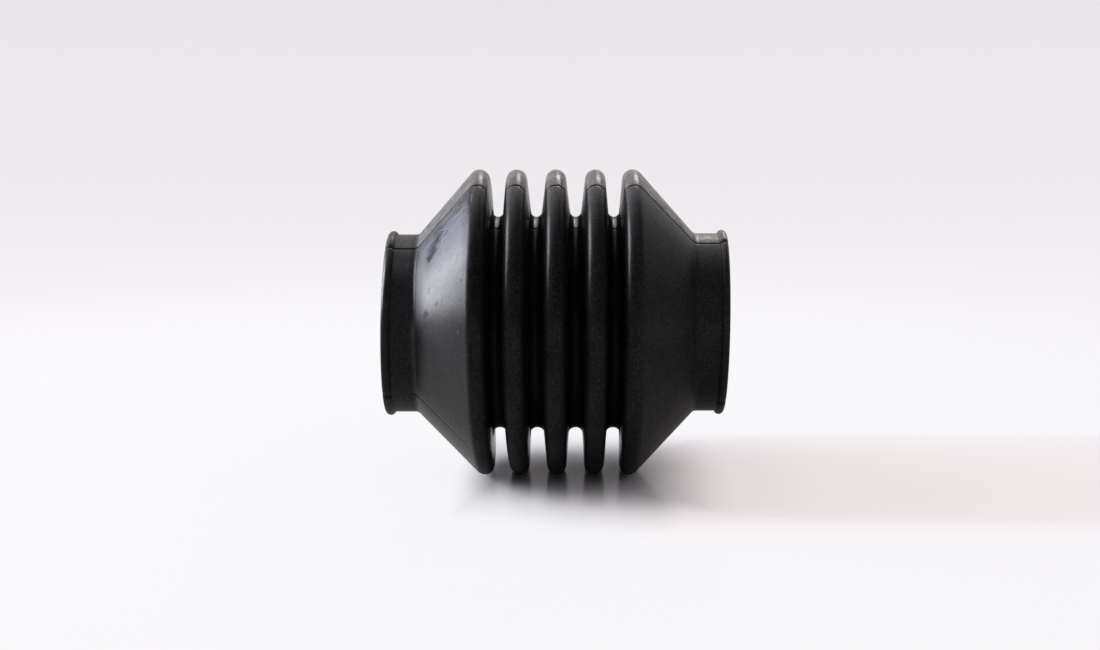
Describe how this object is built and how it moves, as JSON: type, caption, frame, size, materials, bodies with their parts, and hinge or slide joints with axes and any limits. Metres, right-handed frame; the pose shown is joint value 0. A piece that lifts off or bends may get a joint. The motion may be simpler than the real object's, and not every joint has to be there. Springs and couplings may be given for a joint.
{
  "type": "rubber bellows boot",
  "caption": "Moulded rubber bellows sleeve: deep rounded folds between a cone at each end and straight cuffs with beaded lips that clamp onto a tube or housing.",
  "frame": {"origin": "centre of the end face of the lip that the boot stands on", "axes": "+Z along the boot's axis, from the lip it stands on to the other lip; X and Y are alike"},
  "size_m": [0.11, 0.11, 0.1226],
  "materials": {
    "black_rubber": "moulded black rubber, satin, with a pale grey bloom"
  },
  "bodies": {
    "root": {"bellows_boot": "black_rubber"}
  },
  "joints": []
}
